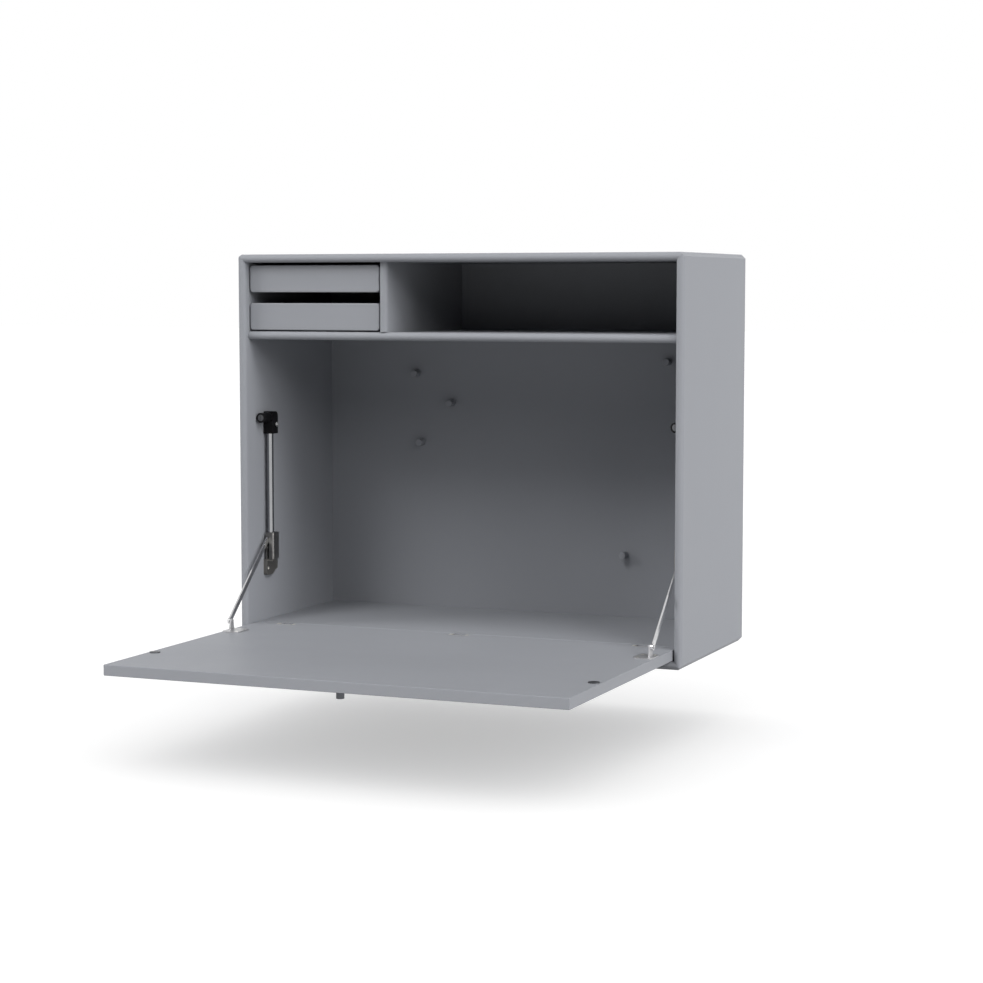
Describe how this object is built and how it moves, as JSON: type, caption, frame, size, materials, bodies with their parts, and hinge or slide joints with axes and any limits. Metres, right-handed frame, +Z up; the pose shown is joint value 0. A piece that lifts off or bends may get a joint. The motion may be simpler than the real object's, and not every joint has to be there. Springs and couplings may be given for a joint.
{
  "type": "fold down wall desk",
  "caption": "Wall cabinet whose front folds down on flap stays to make a desk top, with stacked trays, an open shelf and pegs inside.",
  "frame": {"origin": "on the wall, midway between the two hanging keyholes", "axes": "+X right, +Y into the wall, +Z up"},
  "size_m": [0.696, 0.707, 0.584],
  "materials": {
    "lacquer": "satin grey lacquer",
    "beech": "bare hardwood",
    "nickel": "satin nickel plate",
    "zinc": "zinc plate",
    "chrome": "polished chrome",
    "slider_steel": "nickel plated sheet",
    "black_plastic": "moulded, satin",
    "magnet": "sintered, bare",
    "black_steel": "blackened"
  },
  "bodies": {
    "cabinet": {"top_panel": "lacquer", "bottom_panel": "lacquer", "left_side_panel": "lacquer", "right_side_panel": "lacquer", "back_panel": "lacquer", "floor_panel": "lacquer", "shelf": "lacquer", "divider": "lacquer", "back_pegs": "lacquer", "mitre_splines": "beech", "carcass_dowels": "beech", "upper_left_runner": "beech", "upper_right_runner": "beech", "lower_left_runner": "beech", "lower_right_runner": "beech", "floor_hinge_left": "nickel", "floor_hinge_centre": "nickel", "floor_hinge_right": "nickel", "cabinet_screws": "nickel", "hanger_plates": "zinc", "hanger_screws": "zinc", "head_screws": "zinc", "left_stay_head": "black_plastic", "left_catch_magnet": "magnet", "left_stay_rod": "chrome", "left_stay_foot": "slider_steel", "right_stay_head": "black_plastic", "right_catch_magnet": "magnet", "right_stay_rod": "chrome", "right_stay_foot": "slider_steel"},
    "leaf": {"drop_leaf": "lacquer", "pull_knob": "lacquer", "leaf_screws": "nickel", "left_strike_disc": "black_steel", "right_strike_disc": "black_steel", "leaf_hinge_left": "nickel", "leaf_hinge_centre": "nickel", "leaf_hinge_right": "nickel", "hinge_pins": "nickel", "left_leaf_bracket": "chrome", "right_leaf_bracket": "chrome", "left_bracket_pin": "chrome", "right_bracket_pin": "chrome"},
    "left_slider": {"left_slider_shell": "slider_steel", "left_slider_bush": "black_plastic"},
    "left_arm": {"left_stay_arm": "chrome"},
    "right_slider": {"right_slider_shell": "slider_steel", "right_slider_bush": "black_plastic"},
    "right_arm": {"right_stay_arm": "chrome"},
    "upper_tray": {"upper_tray_front": "lacquer", "upper_tray_sides": "lacquer", "upper_tray_bottom": "lacquer", "upper_tray_back": "lacquer"},
    "lower_tray": {"lower_tray_front": "lacquer", "lower_tray_sides": "lacquer", "lower_tray_bottom": "lacquer", "lower_tray_back": "lacquer"}
  },
  "joints": [
    {"name": "leaf_hinge", "type": "hinge", "parent": "cabinet", "child": "leaf", "pos_m": [0, -0.276, -0.499], "axis": [-1, 0, 0], "range_deg": [0, 90]},
    {"name": "left_slider_slide", "type": "slide", "parent": "cabinet", "child": "left_slider", "axis": [0, 0, 1], "range_m": [0, 0.12152]},
    {"name": "left_arm_hinge", "type": "hinge", "parent": "leaf", "child": "left_arm", "pos_m": [-0.3287, -0.368, -0.4794], "axis": [-1, 0, 0], "range_deg": [-137.9, 0]},
    {"name": "right_slider_slide", "type": "slide", "parent": "cabinet", "child": "right_slider", "axis": [0, 0, 1], "range_m": [0, 0.12152]},
    {"name": "right_arm_hinge", "type": "hinge", "parent": "leaf", "child": "right_arm", "pos_m": [0.3287, -0.368, -0.4794], "axis": [-1, 0, 0], "range_deg": [-137.9, 0]},
    {"name": "upper_tray_slide", "type": "slide", "parent": "cabinet", "child": "upper_tray", "axis": [0, -1, 0], "range_m": [0, 0.18]},
    {"name": "lower_tray_slide", "type": "slide", "parent": "cabinet", "child": "lower_tray", "axis": [0, -1, 0], "range_m": [0, 0.18]}
  ],
  "couplings": [
    {"joint": "left_slider_slide", "follows": "leaf_hinge", "m_per_rad": 0.077363},
    {"joint": "left_arm_hinge", "follows": "leaf_hinge", "ratio": -1.5322},
    {"joint": "right_slider_slide", "follows": "leaf_hinge", "m_per_rad": 0.077363},
    {"joint": "right_arm_hinge", "follows": "leaf_hinge", "ratio": -1.5322}
  ]
}
